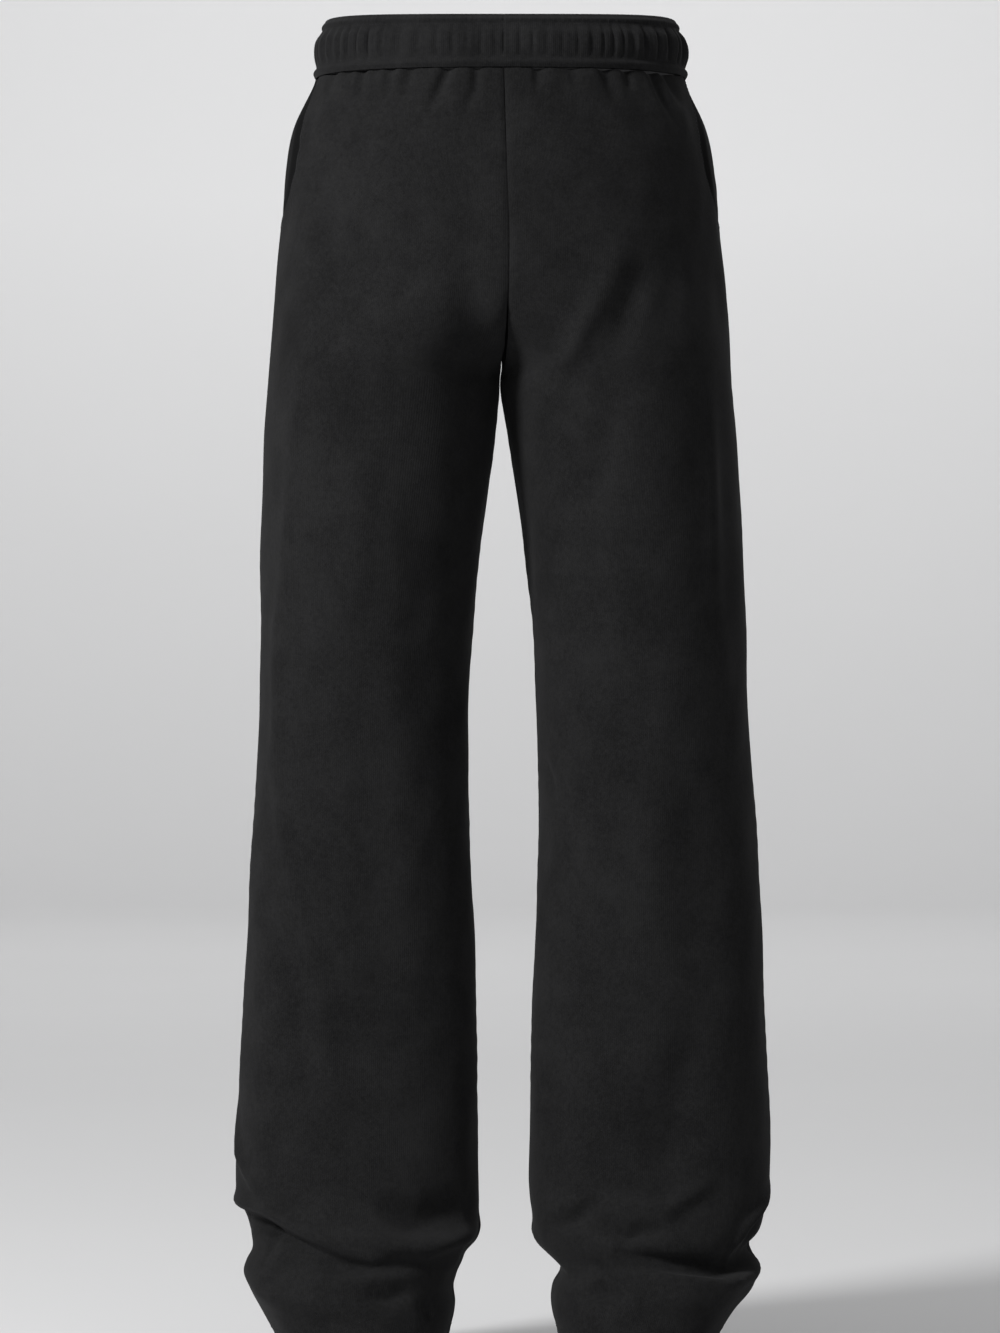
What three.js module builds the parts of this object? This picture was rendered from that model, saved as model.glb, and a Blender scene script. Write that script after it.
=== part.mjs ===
// Straight-leg sweatpants in brushed fleece, worn: the hollow hangs open from an
// elastic waistband and the long legs break into folds over the instep.
// Millimetres, +Z up.  The wearer faces -Y, so their right leg is at -X.
// The origin is the centre of the waist, at the middle of the band's height.
//
// Cut pieces: waistband, two front legs, two back legs, two pocket bags.
import * as THREE from "three";

// ---- driving sizes -------------------------------------------------------
const CLOTH = 2; // wall of the fleece
const HEM_CLOTH = 3; // the hem is the leg's own end, turned up once
const BAND_WALL = 4; // casing, folded over its elastic
const POCKET_CLOTH = 1.5;
const SEAM_GAP = 0.3;

const WAIST_SEAM = -27; // height of the seam under the band, at the sides
const WAIST_SEAM_FRONT_DIP = -2;
const WAIST_SEAM_BACK_RISE = 6;
const WAIST_TILT_REACH = 110; // the tilt of the waist dies out this far down
const CROTCH = -268;
const FRONT_CURVE_TOP = -184; // where the front rise leaves the straight seam
const BACK_CURVE_TOP = -128;
const HEM = -1046; // height of the hem at the sides
const HEM_DEPTH = 25;
const HEM_FRONT_LIFT = 6; // the hem rides up over the instep
const HEM_BACK_DROP = -6;
const HEM_TILT_REACH = 60;

const CORNERING = 0.88; // under 1 squares an ellipse a little
const PANEL_COLUMNS = 10;
const BAND_COLUMNS = 56;
const POCKET_DEPTH_ROWS = 9; // the bag hangs from the waist seam down to this row
const POCKET_COLUMNS = 4; // and reaches forward to this column of the front
const HALF_GIRTH = 262; // half a leg's girth, the measure of a fold's place

// ---- short tables --------------------------------------------------------
// A table is a list of rows under named columns, blended smoothly by height.
function table(names, rows) {
  return rows.map((row) => Object.fromEntries(names.map((name, i) => [name, row[i]])));
}

// Sections from the waist down.  front, back and seam are depths (y), and the
// rest are distances of each leg's outer and inner edge from the middle.
const SECTIONS = table(
  ["z", "front", "back", "seam", "rightOuter", "rightInner", "leftOuter", "leftInner"],
  [
    [-20, -106, 107, 2, 146, 0, 146, 0],
    [-34, -108, 109, 3, 149.5, 0, 151, 0],
    [-67, -113, 118, 5, 164.5, 0, 165, 0],
    [-100, -117, 130, 8, 171, 0, 171.5, 0],
    [-146, -119, 143, 10, 174.5, 0, 175, 0],
    [-200, -117, 148, 12, 180.5, 0, 181, 0],
    [-268, -112, 139, 14, 185.5, 0, 186.5, 0],
    [-307, -108, 126, 12, 188, 3.2, 189.6, 5.6],
    [-355, -103, 113, 8, 189.6, 8.8, 192, 12.8],
    [-403, -98, 103, 4, 191.2, 15.2, 194.4, 19.2],
    [-470, -91, 88, 0, 192, 22.4, 197, 26.4],
    [-547, -84, 77, -3, 192.8, 25.6, 200, 30.4],
    [-643, -76, 76, 0, 198.4, 23.2, 206.4, 30.4],
    [-739, -69, 77, 4, 204.8, 20, 211.2, 27.2],
    [-835, -64, 74, 6, 209.6, 18.4, 216, 24.8],
    [-900, -69, 74, 4, 211.2, 16.8, 216.4, 23.2],
    [-921, -76, 76, 2, 209.6, 16.8, 213.6, 24],
    [-943, -88, 77, 0, 201.6, 18.4, 208, 27.2],
    [-957, -89, 71, -3, 199, 21.4, 201, 31.6],
    [-967, -87, 74, -5, 203.8, 25, 204, 38],
    [-978, -95, 82, -7, 205.8, 34, 205, 46],
    [-990, -103, 84, -9, 201, 38, 201.5, 42],
    [-1005, -105, 79, -11, 192.8, 36.8, 188.8, 41.4],
    [-1022, -108, 75, -13, 182.4, 40, 177.6, 45.6],
    [-1046, -110, 72, -15, 168, 46, 164, 52],
  ],
);

// The front seam wanders a little to the wearer's left on its way down.
const FRONT_SEAM_DRIFT = table(["z", "x"], [[-20, 2.6], [-100, 5], [-165, 7], [-240, 5], [-268, 0]]);

// How far the front leg is cut back from the side seam for the hand to enter.
const POCKET_MOUTH = table(
  ["z", "cut"],
  [[-25, 23], [-46, 28], [-68, 34], [-90, 38], [-112, 32], [-132, 17], [-146, 0]],
);

// The waistband's section: how far each height stands out from the seam line.
const BAND_PROFILE = table(
  ["share", "out"],
  [[0, 0], [0.1, 1.6], [0.19, -0.2], [0.42, 0.4], [0.66, -0.6], [0.85, -4.6], [0.93, -5.4], [1, -8]],
);
const BAND_TOP = 17.6; // at the sides
const BAND_TOP_FRONT_DIP = -5.6;
const BAND_TOP_BACK_RISE = 5;

// Heights of the rows of cloth, closer where it turns or folds.
const ROWS = [
  -27, -46, -68, -90, -112, -132, -146, -168, -190, -210, -228, -244, -256, -263, -268, -274, -286, -307, -338, -372,
  -410, -455, -505, -560, -620, -685, -750, -812, -862, -895, -916, -932, -945, -956, -966, -976, -987, -999, -1010,
  -1021, -1046,
];

// The largest folds.  around runs 0 at the side seam, 0.5 at the front, 1 at the
// inseam, 1.5 at the back and 2 at the side again.  Depth is out, so < 0 is a trough.
const FOLDS = table(
  ["leg", "around", "z", "toAround", "toZ", "width", "depth"],
  [
    ["right", -0.02, -926, 0.4, -948, 13, 5],
    ["right", 0.08, -942, 0.52, -972, 9, -6],
    ["right", 0.56, -930, 0.9, -938, 17, -7],
    ["right", 0.5, -958, 0.86, -962, 11, 4],
    ["right", 0.44, -1000, 0.8, -1001, 10, -4],
    ["right", 1.1, -936, 1.6, -962, 13, -5],
    ["right", 1.42, -930, 1.86, -952, 12, 4],
    ["right", 1.3, -990, 1.8, -984, 12, -4],
    ["left", 0.34, -835, 0.42, -922, 17, -5],
    ["left", 0.62, -820, 0.66, -880, 20, 4],
    ["left", 0.28, -936, 0.62, -934, 12, 4],
    ["left", 0.3, -950, 0.64, -952, 10, -5],
    ["left", 0.04, -972, 0.5, -974, 11, -5],
    ["left", 0.4, -1001, 0.78, -1000, 10, -4],
    ["left", 1.14, -958, 1.62, -938, 13, -5],
    ["left", 1.4, -926, 1.9, -940, 12, 4],
    ["left", 1.24, -984, 1.74, -990, 12, -4],
  ],
);

const LEGS = {
  right: { side: -1, outer: "rightOuter", inner: "rightInner", fold: "right" },
  left: { side: 1, outer: "leftOuter", inner: "leftInner", fold: "left" },
};

// ---- measures of the cloth ----------------------------------------------
// One column of a table at a height, on a smooth curve through its rows.
function blend(rows, name, z, key = "z") {
  const last = rows.length - 1;
  const rising = rows[last][key] > rows[0][key] ? 1 : -1;
  let i = 0;
  while (i < last - 1 && (z - rows[i + 1][key]) * rising > 0) i += 1;
  const [a, b] = [rows[i], rows[i + 1]];
  const [before, after] = [rows[Math.max(i - 1, 0)], rows[Math.min(i + 2, last)]];
  const step = b[key] - a[key];
  const t = THREE.MathUtils.clamp((z - a[key]) / step, 0, 1);
  const slopeIn = ((b[name] - before[name]) / (b[key] - before[key])) * step;
  const slopeOut = ((after[name] - a[name]) / (after[key] - a[key])) * step;
  const t2 = t * t;
  const t3 = t2 * t;
  return (
    (2 * t3 - 3 * t2 + 1) * a[name] +
    (t3 - 2 * t2 + t) * slopeIn +
    (3 * t2 - 2 * t3) * b[name] +
    (t3 - t2) * slopeOut
  );
}

const powered = (value, power) => Math.sign(value) * Math.abs(value) ** power;

// How far the rise has turned in under the body: 0 on the straight seam, 1 from
// the crotch down, where the front and the back close into a leg.
function turnedIn(z, curveTop) {
  return THREE.MathUtils.smoothstep(curveTop - z, 0, curveTop - CROTCH);
}

// A point of the smooth, unfolded surface.  across runs from the side seam (0) to
// the middle seam or the inseam (1), on the front or the back of one leg.
function smoothPoint(leg, isFront, across, z) {
  const outer = blend(SECTIONS, leg.outer, z);
  const inner = Math.max(blend(SECTIONS, leg.inner, z), SEAM_GAP / 2);
  const seam = blend(SECTIONS, "seam", z);
  const depth = blend(SECTIONS, isFront ? "front" : "back", z) - seam;
  const closed = turnedIn(z, isFront ? FRONT_CURVE_TOP : BACK_CURVE_TOP);
  const radius = (outer - inner) / (1 + closed);
  const angle = across * Math.acos(-(closed ** (1 / CORNERING)));
  const x = outer - radius + radius * powered(Math.cos(angle), CORNERING);
  const y = seam + depth * powered(Math.sin(angle), CORNERING);
  const drift = isFront && z > CROTCH ? blend(FRONT_SEAM_DRIFT, "x", z) : 0;
  return new THREE.Vector3(leg.side * x + drift * (1 - (x / outer) ** 2), y, z);
}

// The sum of the folds at a place on the leg, outwards.
function foldDepth(leg, around, z) {
  let sum = 0;
  for (const fold of FOLDS) {
    if (fold.leg !== leg.fold) continue;
    const run = new THREE.Vector2((fold.toAround - fold.around) * HALF_GIRTH, fold.toZ - fold.z);
    for (const turn of [-2, 0, 2]) {
      const place = new THREE.Vector2((around + turn - fold.around) * HALF_GIRTH, z - fold.z);
      const share = THREE.MathUtils.clamp(place.dot(run) / run.lengthSq(), 0, 1);
      const distance = place.distanceTo(run.clone().multiplyScalar(share));
      const fade = Math.sin(Math.PI * (0.12 + 0.76 * share));
      sum += fold.depth * fade * Math.exp(-((distance / fold.width) ** 2));
    }
  }
  return sum;
}

// A point of the cloth's outer face, folds included.
function clothPoint(leg, isFront, across, z) {
  const point = smoothPoint(leg, isFront, across, z);
  const out = foldDepth(leg, isFront ? across : 2 - across, z);
  if (Math.abs(out) < 0.01) return point;
  const step = 0.01;
  const ahead = smoothPoint(leg, isFront, Math.min(across + step, 1), z);
  const behind = smoothPoint(leg, isFront, Math.max(across - step, 0), z);
  const along = ahead.sub(behind).normalize();
  const turn = leg.side * (isFront ? 1 : -1);
  return point.add(new THREE.Vector3(-along.y * turn, along.x * turn, 0).multiplyScalar(out));
}

// The outward direction of the cloth, across its folds.
function outward(leg, isFront, across, z) {
  const [stepAcross, stepDown] = [0.01, 2];
  const [low, high] = [Math.max(across - stepAcross, 0), Math.min(across + stepAcross, 1)];
  const [up, down] = [Math.min(z + stepDown, WAIST_SEAM + WAIST_SEAM_BACK_RISE), Math.max(z - stepDown, HEM)];
  const along = clothPoint(leg, isFront, high, z).sub(clothPoint(leg, isFront, low, z));
  const fall = clothPoint(leg, isFront, across, down).sub(clothPoint(leg, isFront, across, up));
  const normal = along.cross(fall).normalize();
  return normal.multiplyScalar(leg.side * (isFront ? 1 : -1));
}

// The share across a panel at each of the given distances from the side seam.
function acrossAt(leg, isFront, z, distances) {
  const samples = 48;
  const lengths = [0];
  let last = smoothPoint(leg, isFront, 0, z);
  for (let i = 1; i <= samples; i += 1) {
    const next = smoothPoint(leg, isFront, i / samples, z);
    lengths.push(lengths[i - 1] + next.distanceTo(last));
    last = next;
  }
  const total = lengths[samples];
  return distances(total).map((distance) => {
    let i = 0;
    while (i < samples - 1 && lengths[i + 1] < distance) i += 1;
    return (i + (distance - lengths[i]) / (lengths[i + 1] - lengths[i])) / samples;
  });
}

// The height of a row where the waist and the hem tilt towards front and back.
function rowHeight(rowZ, isFront, across) {
  const facing = Math.sin((Math.PI / 2) * Math.min(across, 1)) ** 2;
  const hemFacing = Math.sin(Math.PI * Math.min(across, 1));
  const waist = (isFront ? WAIST_SEAM_FRONT_DIP : WAIST_SEAM_BACK_RISE) * facing;
  const hem = (isFront ? HEM_FRONT_LIFT : HEM_BACK_DROP) * hemFacing;
  const waistShare = THREE.MathUtils.clamp(1 - (WAIST_SEAM - rowZ) / WAIST_TILT_REACH, 0, 1);
  const hemShare = THREE.MathUtils.clamp(1 - (rowZ - HEM) / HEM_TILT_REACH, 0, 1);
  return rowZ + waist * waistShare + hem * hemShare;
}

// ---- solids --------------------------------------------------------------
// A closed shell between two grids of points of the same shape.
function shell(outerGrid, innerGrid) {
  const rows = outerGrid.length;
  const columns = outerGrid[0].length;
  const points = [...outerGrid.flat(), ...innerGrid.flat()];
  const inside = rows * columns;
  const faces = [];
  const quad = (a, b, c, d) => faces.push(a, b, c, a, c, d);
  for (let r = 0; r < rows - 1; r += 1) {
    for (let c = 0; c < columns - 1; c += 1) {
      const [a, b] = [r * columns + c, r * columns + c + 1];
      quad(a, a + columns, b + columns, b);
      quad(inside + a, inside + b, inside + b + columns, inside + a + columns);
    }
  }
  const rim = [];
  for (let c = 0; c < columns - 1; c += 1) rim.push(c);
  for (let r = 0; r < rows - 1; r += 1) rim.push(r * columns + columns - 1);
  for (let c = columns - 1; c > 0; c -= 1) rim.push((rows - 1) * columns + c);
  for (let r = rows - 1; r > 0; r -= 1) rim.push(r * columns);
  rim.forEach((a, i) => {
    const b = rim[(i + 1) % rim.length];
    quad(a, b, inside + b, inside + a);
  });
  return solid(points, faces);
}

// A geometry from shared points, with its faces turned outwards.
function solid(points, faces) {
  let volume = 0;
  for (let i = 0; i < faces.length; i += 3) {
    const [a, b, c] = [points[faces[i]], points[faces[i + 1]], points[faces[i + 2]]];
    volume += a.dot(b.clone().cross(c));
  }
  if (volume < 0) faces.reverse();
  const geometry = new THREE.BufferGeometry();
  geometry.setAttribute("position", new THREE.Float32BufferAttribute(points.flatMap((p) => [p.x, p.y, p.z]), 3));
  geometry.setIndex(faces);
  geometry.computeVertexNormals();
  return geometry;
}

// The places of a leg panel's points, row by row: share across and height.
function panelPlaces(leg, isFront) {
  return ROWS.map((rowZ, row) => {
    const cut = isFront && rowZ > POCKET_MOUTH.at(-1).z ? blend(POCKET_MOUTH, "cut", rowZ) : 0;
    const start = Math.max(cut, SEAM_GAP / 2);
    const places = acrossAt(leg, isFront, rowZ, (total) => {
      const end = total - SEAM_GAP / 2;
      return Array.from({ length: PANEL_COLUMNS + 1 }, (_, c) => start + ((end - start) * c) / PANEL_COLUMNS);
    });
    const trim = row === 0 ? SEAM_GAP / 2 : 0;
    return places.map((across) => ({ across, z: rowHeight(rowZ, isFront, across) - trim }));
  });
}

// A layer of cloth lying a given depth under the outer face.  Beside the middle
// plane it stays half a seam gap clear of its neighbour.
function layer(leg, isFront, places, depthAt) {
  return places.map((row) =>
    row.map(({ across, z }) => {
      const point = clothPoint(leg, isFront, across, z);
      const sunk = point.clone().addScaledVector(outward(leg, isFront, across, z), -depthAt(z));
      if (across > 0.95 && z > CROTCH) {
        const clear = leg.side * point.x;
        sunk.x = leg.side * Math.max(leg.side * sunk.x, clear);
      }
      return sunk;
    }),
  );
}

// A leg's front or back: one wall of fleece with its end turned up as the hem.
function legPanel(leg, isFront) {
  const places = panelPlaces(leg, isFront);
  const wall = (z) => (z < HEM + HEM_DEPTH + 1 ? HEM_CLOTH : CLOTH);
  return shell(layer(leg, isFront, places, () => 0), layer(leg, isFront, places, wall));
}

// A pocket bag: one layer of cloth under the front, from the side seam forward.
// It shows in the mouth, where the front is cut back from the side seam.
function pocketBag(leg) {
  const places = panelPlaces(leg, true)
    .slice(0, POCKET_DEPTH_ROWS + 1)
    .map((row, index) => {
      const [seamSide] = acrossAt(leg, true, ROWS[index], () => [SEAM_GAP]);
      const gate = Math.max(row[0].across, seamSide * 2);
      const lead = [seamSide, (seamSide + gate) / 2].map((across) => ({
        across,
        z: rowHeight(ROWS[index], true, across) - (index === 0 ? SEAM_GAP / 2 : 0),
      }));
      return [...lead, { across: gate, z: row[0].z }, ...row.slice(1, POCKET_COLUMNS + 1)];
    });
  const under = CLOTH + SEAM_GAP;
  return shell(layer(leg, true, places, () => under), layer(leg, true, places, () => under + POCKET_CLOTH));
}

// The waistband: a closed casing whose section has a ridge at the top, where the
// edge of the elastic is stitched off, and another over the waist seam.
function waistband() {
  const quarter = BAND_COLUMNS / 4;
  const stations = [];
  const sweep = (leg, isFront, forward) => {
    const shares = acrossAt(leg, isFront, WAIST_SEAM, (total) =>
      Array.from({ length: quarter + 1 }, (_, i) => (total * i) / quarter),
    );
    const ordered = forward ? shares.slice(0, -1) : shares.slice(1).reverse();
    ordered.forEach((across) => stations.push({ leg, isFront, across }));
  };
  sweep(LEGS.right, true, true);
  sweep(LEGS.left, true, false);
  sweep(LEGS.left, false, true);
  sweep(LEGS.right, false, false);
  const outerFace = BAND_PROFILE.map(({ share, out }) => ({ share, out }));
  const innerFace = [1, 0.66, 0.3, 0].map((share) => ({
    share,
    out: blend(BAND_PROFILE, "out", share, "share") - BAND_WALL,
  }));
  const section = [...outerFace, ...innerFace];
  const points = [];
  for (const { leg, isFront, across } of stations) {
    const bottom = rowHeight(WAIST_SEAM, isFront, across) + SEAM_GAP / 2;
    const facing = Math.sin((Math.PI / 2) * across) ** 2;
    const top = BAND_TOP + (isFront ? BAND_TOP_FRONT_DIP : BAND_TOP_BACK_RISE) * facing;
    const foot = smoothPoint(leg, isFront, across, WAIST_SEAM);
    const near = smoothPoint(leg, isFront, across > 0.5 ? across - 0.02 : across + 0.02, WAIST_SEAM);
    const along = near.sub(foot).normalize().multiplyScalar(across > 0.5 ? -1 : 1);
    const turn = leg.side * (isFront ? 1 : -1);
    const normal = new THREE.Vector3(-along.y * turn, along.x * turn, 0);
    if (across > 0.99) normal.set(0, isFront ? -1 : 1, 0);
    if (across < 0.01) normal.set(leg.side, 0, 0);
    for (const { share, out } of section) {
      const point = foot.clone().addScaledVector(normal, out);
      point.z = bottom + (top - bottom) * share;
      points.push(point);
    }
  }
  const faces = [];
  const size = section.length;
  for (let station = 0; station < BAND_COLUMNS; station += 1) {
    for (let i = 0; i < size; i += 1) {
      const [a, b] = [station * size + i, station * size + ((i + 1) % size)];
      const ahead = (((station + 1) % BAND_COLUMNS) - station) * size;
      faces.push(a, a + ahead, b + ahead, a, b + ahead, b);
    }
  }
  return solid(points, faces);
}

// ---- the garment ---------------------------------------------------------
const garment = new THREE.Group();

function sew(name, geometry, colour) {
  const material = new THREE.MeshStandardMaterial({ color: colour, roughness: 0.95, metalness: 0 });
  const mesh = new THREE.Mesh(geometry, material);
  mesh.name = name;
  garment.add(mesh);
}

sew("waistband", waistband(), 0x1f1f20);
for (const [name, leg] of Object.entries(LEGS)) {
  sew(`front_${name}`, legPanel(leg, true), 0x222223);
  sew(`back_${name}`, legPanel(leg, false), 0x222223);
  sew(`pocket_${name}`, pocketBag(leg), 0x121213);
}

export default garment;
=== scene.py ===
import bmesh
import bpy
import math
import numpy as np
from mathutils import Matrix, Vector


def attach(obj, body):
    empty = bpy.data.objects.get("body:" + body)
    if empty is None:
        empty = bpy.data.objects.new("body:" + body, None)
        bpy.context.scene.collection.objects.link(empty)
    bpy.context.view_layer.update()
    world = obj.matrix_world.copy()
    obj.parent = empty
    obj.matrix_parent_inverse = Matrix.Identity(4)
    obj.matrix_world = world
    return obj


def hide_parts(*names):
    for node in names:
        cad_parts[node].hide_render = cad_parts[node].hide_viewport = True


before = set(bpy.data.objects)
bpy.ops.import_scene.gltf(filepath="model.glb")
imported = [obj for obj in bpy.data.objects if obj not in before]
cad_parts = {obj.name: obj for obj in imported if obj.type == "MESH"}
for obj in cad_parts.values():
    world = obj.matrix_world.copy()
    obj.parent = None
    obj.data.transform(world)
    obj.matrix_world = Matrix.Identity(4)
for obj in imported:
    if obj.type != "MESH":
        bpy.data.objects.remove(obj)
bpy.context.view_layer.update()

# ---- the view and the light -------------------------------------------------------------
# The garment is seen straight on from the front at the height of its middle, from far
# enough away that it hardly narrows.  A large soft lamp stands high on the wearer's right,
# with a weak fill on the left, one above the waist and one that lights the wall behind.
VIEW_DISTANCE = 4.0
VIEW_HEIGHT = -0.496
FLOOR_HEIGHT = -1.057

bpy.ops.object.select_all(action="DESELECT")
bpy.ops.object.camera_add(location=(0, -VIEW_DISTANCE, VIEW_HEIGHT), rotation=(math.radians(90), 0, 0))
camera = bpy.context.object
camera.data.lens = 135
camera.data.sensor_width = 36
bpy.context.scene.camera = camera
bpy.context.scene.view_settings.view_transform = "Standard"


def soft_lamp(name, place, aim, size, power):
    bpy.ops.object.light_add(type="AREA", location=place)
    lamp = bpy.context.object
    lamp.name = name
    lamp.data.shape = "DISK"
    lamp.data.size = size
    lamp.data.energy = power
    lamp.rotation_euler = (Vector(aim) - Vector(place)).to_track_quat("-Z", "Y").to_euler()


soft_lamp("key_lamp", (-2.6, -2.3, 1.5), (0, 0, -0.5), 0.9, 190)
soft_lamp("fill_lamp", (2.4, -3.2, 0.3), (0, 0, -0.5), 2.2, 8)
soft_lamp("top_lamp", (0.2, 1.2, 2.6), (0, 0, -0.4), 1.6, 40)
soft_lamp("wall_lamp", (0, 4.5, 4.5), (0, 9.9, 0.4), 3.0, 230)


class Socket:
    """A shader socket that can be added to, multiplied and so on."""

    def __init__(self, tree, socket):
        self.tree = tree
        self.socket = socket

    def made(self, node_type, settings, inputs, output=0):
        node = self.tree.nodes.new(node_type)
        for name, value in settings.items():
            setattr(node, name, value)
        for key, value in inputs.items():
            if isinstance(value, Socket):
                self.tree.links.new(value.socket, node.inputs[key])
            else:
                node.inputs[key].default_value = value
        return Socket(self.tree, node.outputs[output])

    def maths(self, operation, a, b=0.0):
        return self.made("ShaderNodeMath", {"operation": operation}, {0: a, 1: b})

    def __add__(self, other):
        return self.maths("ADD", self, other)

    __radd__ = __add__

    def __mul__(self, other):
        return self.maths("MULTIPLY", self, other)

    __rmul__ = __mul__

    def __sub__(self, other):
        return self.maths("SUBTRACT", self, other)

    def __rsub__(self, other):
        return self.maths("SUBTRACT", other, self)

    def sine(self):
        return self.maths("SINE", self)

    def clamped(self, low, high, to_low=0.0, to_high=1.0):
        return self.made("ShaderNodeMapRange", {}, {0: self, 1: low, 2: high, 3: to_low, 4: to_high})

    def between(self, first, second):
        return self.made(
            "ShaderNodeMix", {"data_type": "RGBA"}, {0: self, 6: (*first, 1), 7: (*second, 1)}, 2
        )


def new_material(name):
    material = bpy.data.materials.new(name)
    material.use_nodes = True
    tree = material.node_tree
    shader = tree.nodes["Principled BSDF"]
    coordinates = tree.nodes.new("ShaderNodeTexCoord")
    return material, tree, shader, coordinates


# The floor and the wall behind it are one pale sheet of paper, curved up at the back. Its colour
# is painted darker on the floor and lighter towards the top: painted shade and light that even out the key
# lamp's stronger light on the floor.
FLOOR_PAINTED_SHADE = (0.56, 0.56, 0.565)
WALL_PAINTED_LIGHT = (0.79, 0.79, 0.795)
PAPER_WIDTH, PAPER_DEPTH, PAPER_HEIGHT = 26, 20, 8
COVE_RADIUS = 2.5


def backdrop():
    bpy.ops.object.select_all(action="DESELECT")
    bpy.ops.mesh.primitive_plane_add(size=1, location=(0, 0, FLOOR_HEIGHT))
    paper = bpy.context.object
    paper.name = "backdrop"
    paper.scale = (PAPER_WIDTH, PAPER_DEPTH, 1)
    bpy.ops.object.transform_apply(location=True, rotation=True, scale=True)
    bpy.ops.object.mode_set(mode="EDIT")
    bpy.ops.mesh.select_all(action="DESELECT")
    mesh = bmesh.from_edit_mesh(paper.data)
    for edge in mesh.edges:
        edge.select_set(all(vertex.co.y > 0 for vertex in edge.verts))
    bmesh.update_edit_mesh(paper.data)
    bpy.ops.mesh.extrude_region_move(TRANSFORM_OT_translate={"value": (0, 0, PAPER_HEIGHT)})
    bpy.ops.mesh.select_all(action="SELECT")
    bpy.ops.mesh.normals_make_consistent(inside=False)
    bpy.ops.object.mode_set(mode="OBJECT")
    bend = paper.modifiers.new("cove", "BEVEL")
    bend.width = COVE_RADIUS
    bend.segments = 24
    bpy.ops.object.modifier_apply(modifier="cove")
    bpy.ops.object.shade_smooth()
    material, tree, shader, coordinates = new_material("studio_paper")
    shader.inputs["Roughness"].default_value = 0.9
    place = Socket(tree, coordinates.outputs["Object"])
    cloudy = place.made("ShaderNodeTexNoise", {}, {"Vector": place, "Scale": 0.9, "Detail": 3.0})
    height = place.made("ShaderNodeSeparateXYZ", {}, {"Vector": place}, 2)
    # Painted shade on the floor fades into painted light up the wall, mixed by height.
    shade = (height.clamped(-1.05, 0.9) + cloudy * 0.12).between(FLOOR_PAINTED_SHADE, WALL_PAINTED_LIGHT)
    tree.links.new(shade.socket, shader.inputs["Base Color"])
    paper.data.materials.append(material)


backdrop()

world = bpy.data.worlds.new("studio")
bpy.context.scene.world = world
world.use_nodes = True
world.node_tree.nodes["Background"].inputs[0].default_value = (1, 1, 1, 1)
world.node_tree.nodes["Background"].inputs[1].default_value = 0.33


# ---- the leg panels ---------------------------------------------------------------------
# Two fronts and two backs in brushed-back fleece with a fine jersey face, sewn to each
# other down the sides, the inseams and the middle.  The legs are cut straight and long,
# so the cloth breaks over the instep, and each end is turned up once and coverstitched.
# All lengths from here on are millimetres, and MM makes them metres in the meshes.
MM = 0.001
WAIST_SEAM, CROTCH, HEM = -27.0, -268.0, -1046.0
CORNERING = 0.88
HALF_GIRTH = 262.0
SEAM_GAP = 0.3
SEAM_TURN_IN, SEAM_REACH = 2.4, 0.35
HEM_DEPTH, HEM_BEND = 25.0, 2.1
WAIST_TILT_FRONT, WAIST_TILT_BACK, WAIST_TILT_FADE = -2.0, 6.0, 110.0
HEM_TILT, HEM_TILT_FADE = 6.0, 60.0
CLOTH_WALL = 1.8
PANEL_COLUMNS, PANEL_ROWS = 96, 400
GATHER_DEPTH = 1.7
FOLD_DEPTH = 1.55

FLEECE_COLOUR = (0.0062, 0.0062, 0.0064)
FLEECE_WORN = (0.0140, 0.0140, 0.0143)


def fleece(name, dark, light, rib_spacing=0.0016):
    """Fine jersey ribs along the cloth's own length, a felted nap and a soft mottle."""
    material, tree, shader, coordinates = new_material(name)
    along = Socket(tree, coordinates.outputs["UV"])
    place = Socket(tree, coordinates.outputs["Object"])
    ribs = along.made("ShaderNodeTexWave", {"bands_direction": "X"}, {
        "Vector": along, "Scale": 0.314 / rib_spacing, "Distortion": 1.6, "Detail": 2.0, "Detail Scale": 2.0})
    nap = place.made("ShaderNodeTexNoise", {}, {"Vector": place, "Scale": 900.0, "Detail": 3.0})
    pills = place.made("ShaderNodeTexNoise", {}, {"Vector": place, "Scale": 260.0, "Detail": 4.0})
    cloud = place.made("ShaderNodeTexNoise", {}, {"Vector": place, "Scale": 9.0, "Detail": 3.0})
    patches = place.made("ShaderNodeTexNoise", {}, {"Vector": place, "Scale": 42.0, "Detail": 4.0})
    mottle = nap * 0.34 + pills * 0.22 + cloud * 0.24 + patches * 0.20
    colour = mottle.clamped(0.40, 0.60).between(dark, light)
    tree.links.new(colour.socket, shader.inputs["Base Color"])
    rough = mottle.clamped(0.3, 0.7, 0.86, 0.97)
    tree.links.new(rough.socket, shader.inputs["Roughness"])
    relief = ribs * 0.35 + nap * 0.35 + pills * 0.5
    bump = relief.made("ShaderNodeBump", {}, {"Strength": 0.45, "Distance": 0.0006, "Height": relief})
    tree.links.new(bump.socket, shader.inputs["Normal"])
    shader.inputs["Specular IOR Level"].default_value = 0.06
    shader.inputs["Sheen Weight"].default_value = 0.03
    shader.inputs["Sheen Roughness"].default_value = 0.55
    shader.inputs["Sheen Tint"].default_value = (0.8, 0.8, 0.82, 1)
    return material


leg_cloth = fleece("leg_fleece", FLEECE_COLOUR, FLEECE_WORN)

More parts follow.
